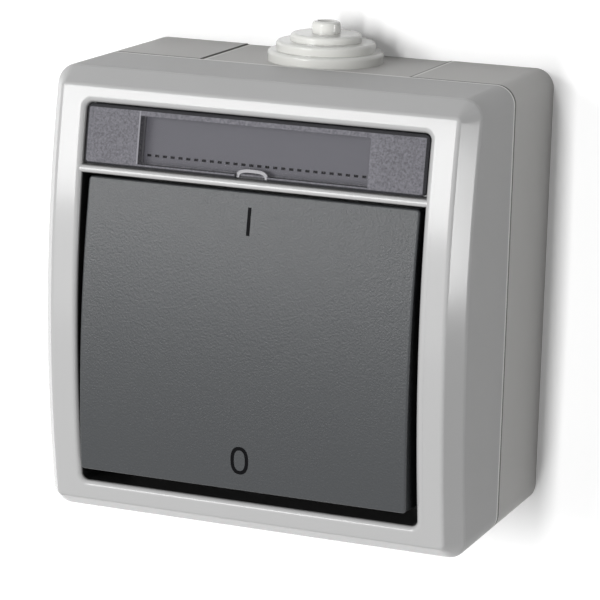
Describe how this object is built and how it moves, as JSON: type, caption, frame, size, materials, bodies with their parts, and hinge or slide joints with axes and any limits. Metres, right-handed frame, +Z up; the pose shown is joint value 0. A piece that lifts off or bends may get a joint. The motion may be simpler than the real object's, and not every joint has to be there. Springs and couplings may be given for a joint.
{
  "type": "outdoor weatherproof switch",
  "caption": "Surface-mounted splash-proof rocker switch with an arched cover, a smoked label window and a stepped membrane cable entry on top.",
  "frame": {"origin": "middle of the box's back face, in the wall plane", "axes": "+X to the right seen from the front, -Y out of the wall towards the user, +Z up"},
  "size_m": [0.08, 0.0482, 0.0887],
  "materials": {
    "housing_grey": "satin light grey moulded plastic",
    "cover_grey": "glossy light grey moulded plastic",
    "membrane_grey": "glossy soft light grey elastomer",
    "seal_rubber": "matt black seal rubber",
    "smoked_lens": "smoked clear plastic, frosted at both ends",
    "label_card": "plain grey film",
    "rocker_graphite": "fine-textured graphite moulded plastic",
    "cradle_plastic": "natural white engineering plastic",
    "insert_plastic": "off-white thermoset moulding",
    "plunger_plastic": "natural low-friction plastic",
    "spring_steel": "drawn spring wire",
    "contact_copper": "bare stamped copper alloy",
    "plated_steel": "zinc-plated steel"
  },
  "bodies": {
    "housing": {"back_box": "housing_grey", "cable_entry_plate": "housing_grey", "cable_grommet": "membrane_grey", "rim_seal": "seal_rubber", "front_cover": "cover_grey", "label_card": "label_card", "rocker_seal": "seal_rubber", "mechanism_body": "insert_plastic", "mechanism_frame": "plated_steel", "frame_screws": "plated_steel", "cover_screws": "plated_steel", "terminal_clamps": "plated_steel", "terminal_screws": "plated_steel", "pivot_terminal_left": "contact_copper", "pivot_terminal_right": "contact_copper", "switched_terminal_left": "contact_copper", "switched_terminal_right": "contact_copper"},
    "label_window": {"label_lens": "smoked_lens"},
    "rocker_assembly": {"rocker": "rocker_graphite", "rocker_cradle": "cradle_plastic", "plunger_spring_left": "spring_steel", "plunger_spring_right": "spring_steel"},
    "left_plunger": {"plunger_left": "plunger_plastic"},
    "right_plunger": {"plunger_right": "plunger_plastic"},
    "left_bridge": {"contact_bridge_left": "contact_copper"},
    "right_bridge": {"contact_bridge_right": "contact_copper"}
  },
  "joints": [
    {"name": "rocker_tilt", "type": "hinge", "parent": "housing", "child": "rocker_assembly", "pos_m": [0, -0.029, -0.00592], "axis": [1, 0, 0], "range_deg": [0, 8]},
    {"name": "left_plunger_slide", "type": "slide", "parent": "rocker_assembly", "child": "left_plunger", "axis": [0, -0.9976, 0.0698], "range_m": [0, 0.0012], "stiffness_N_per_m": 300, "deforming": ["plunger_spring_left"]},
    {"name": "right_plunger_slide", "type": "slide", "parent": "rocker_assembly", "child": "right_plunger", "axis": [0, -0.9976, 0.0698], "range_m": [0, 0.0012], "stiffness_N_per_m": 300, "deforming": ["plunger_spring_right"]},
    {"name": "left_bridge_tilt", "type": "hinge", "parent": "housing", "child": "left_bridge", "pos_m": [-0.008, -0.017, -0.00592], "axis": [1, 0, 0], "range_deg": [-16, 0]},
    {"name": "right_bridge_tilt", "type": "hinge", "parent": "housing", "child": "right_bridge", "pos_m": [0.008, -0.017, -0.00592], "axis": [1, 0, 0], "range_deg": [-16, 0]},
    {"name": "label_window_release", "type": "slide", "parent": "housing", "child": "label_window", "axis": [0, -1, 0], "range_m": [0, 0.012]}
  ],
  "couplings": [
    {"joint": "left_bridge_tilt", "follows": "rocker_tilt", "ratio": -2},
    {"joint": "right_bridge_tilt", "follows": "rocker_tilt", "ratio": -2}
  ]
}
